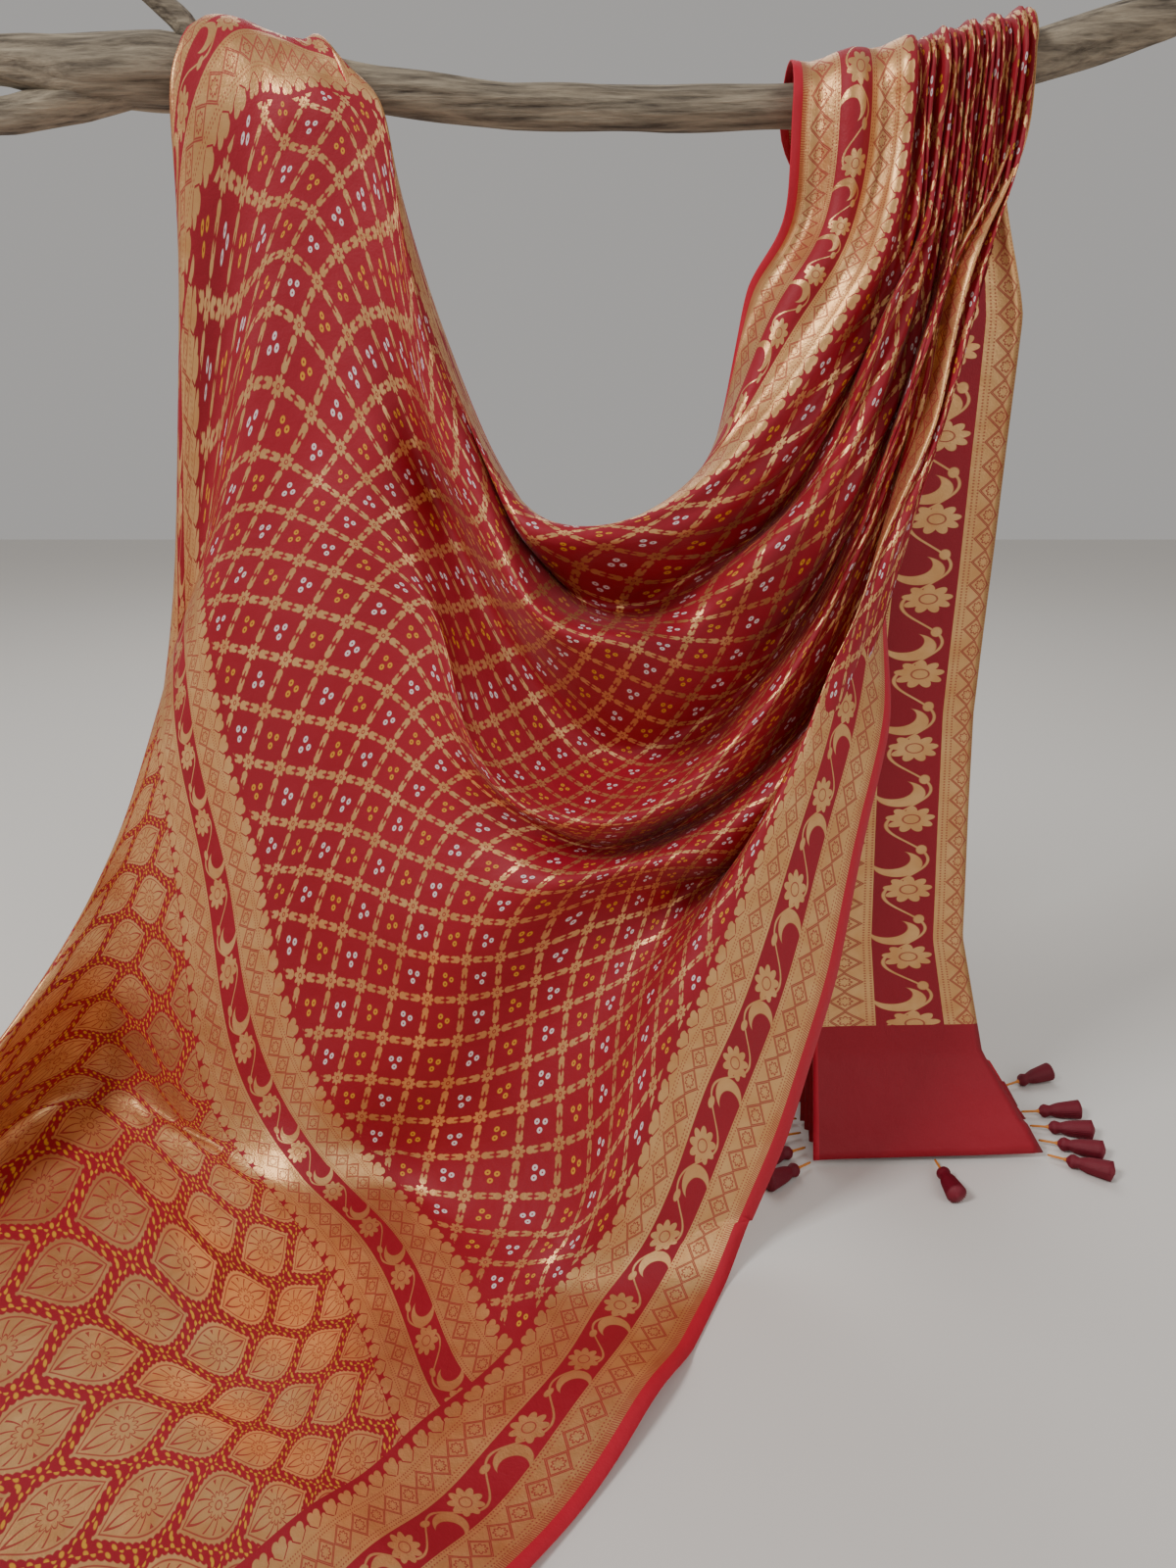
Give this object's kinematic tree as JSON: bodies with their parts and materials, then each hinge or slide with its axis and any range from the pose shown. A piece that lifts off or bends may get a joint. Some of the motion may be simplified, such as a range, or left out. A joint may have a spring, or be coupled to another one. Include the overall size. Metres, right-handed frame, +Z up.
{
  "type": "bandhani dupatta draped over a driftwood branch",
  "caption": "Red tie-dyed georgette dupatta with woven gold borders and tasselled ends, draped in a swag over a weathered branch.",
  "frame": {"origin": "centre of the branch's cut end at the left, where the branch is held", "axes": "+X along the branch towards its other end, +Y away from the side that is looked at, +Z up"},
  "size_m": [0.9787, 0.8258, 0.6975],
  "materials": {
    "georgette": "matte",
    "driftwood": "matte",
    "tassel_thread": "satin"
  },
  "bodies": {
    "root": {"dupatta": "georgette", "branch": "driftwood", "front_tassel_01": "tassel_thread", "front_tassel_02": "tassel_thread", "front_tassel_03": "tassel_thread", "front_tassel_04": "tassel_thread", "front_tassel_05": "tassel_thread", "front_tassel_06": "tassel_thread", "front_tassel_07": "tassel_thread", "front_tassel_08": "tassel_thread", "front_tassel_09": "tassel_thread", "front_tassel_10": "tassel_thread", "front_tassel_11": "tassel_thread", "front_tassel_12": "tassel_thread", "front_tassel_13": "tassel_thread", "back_tassel_01": "tassel_thread", "back_tassel_02": "tassel_thread", "back_tassel_03": "tassel_thread", "back_tassel_04": "tassel_thread", "back_tassel_05": "tassel_thread", "back_tassel_06": "tassel_thread", "back_tassel_07": "tassel_thread", "back_tassel_08": "tassel_thread", "back_tassel_09": "tassel_thread", "back_tassel_10": "tassel_thread", "back_tassel_11": "tassel_thread", "back_tassel_12": "tassel_thread"}
  },
  "joints": []
}
